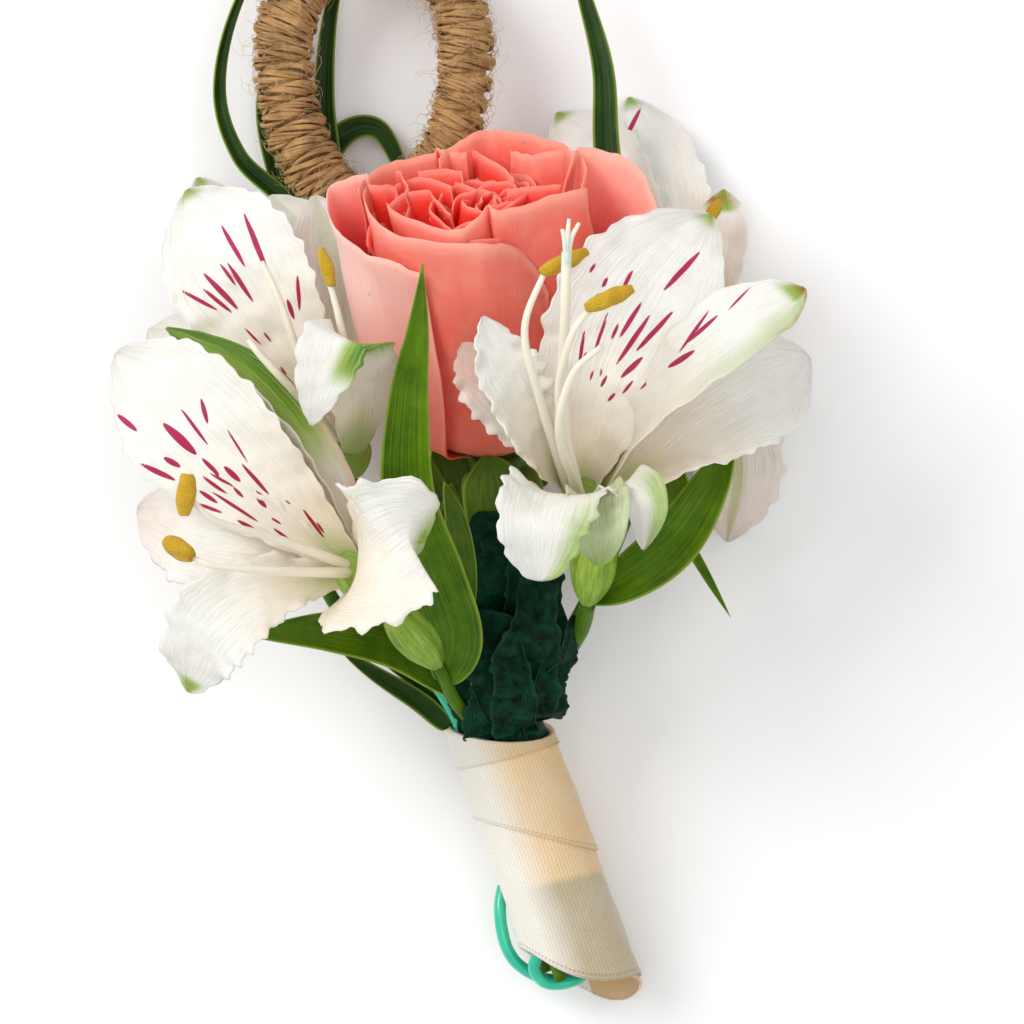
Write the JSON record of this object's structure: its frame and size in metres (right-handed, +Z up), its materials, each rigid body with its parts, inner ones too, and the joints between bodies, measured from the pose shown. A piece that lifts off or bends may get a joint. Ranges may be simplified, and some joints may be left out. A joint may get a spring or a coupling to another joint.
{
  "type": "rose posy",
  "caption": "Hand-tied posy laid on its back: coral rose, white alstroemeria, leaves and grass, twine-wound wire ring and ribbon-bound handle, for holding or display.",
  "frame": {"origin": "the middle of the small flat spot at the foot of the ribbon handle, where the posy lies on the surface", "axes": "+Z up out of the surface; +Y from the handle's foot towards the flowers; +X to the right when looking down on it"},
  "size_m": [0.1171, 0.1931, 0.0831],
  "materials": {
    "rose_petal": "satin",
    "white_tepal": "satin",
    "stem_green": "satin",
    "leaf_green": "satin",
    "grass_green": "satin",
    "core_wire": "dull",
    "twine_tan": "rough",
    "tape_green": "crinkled",
    "ribbon_cream": "soft sheen",
    "coated_wire": "glossy"
  },
  "bodies": {
    "root": {"rose_bloom": "rose_petal", "rose_stem": "stem_green", "lily_c_bloom": "white_tepal", "lily_b_bloom": "white_tepal", "lily_a_bloom": "white_tepal", "lily_d_bloom": "white_tepal", "lily_c_stem": "leaf_green", "lily_b_stem": "leaf_green", "lily_a_stem": "leaf_green", "lily_d_stem": "leaf_green", "grass_left": "grass_green", "grass_right": "grass_green", "ring_wire": "core_wire", "twine_wrap": "twine_tan", "stem_tape": "tape_green", "ribbon_wrap": "ribbon_cream", "coated_wire": "coated_wire"}
  },
  "joints": []
}
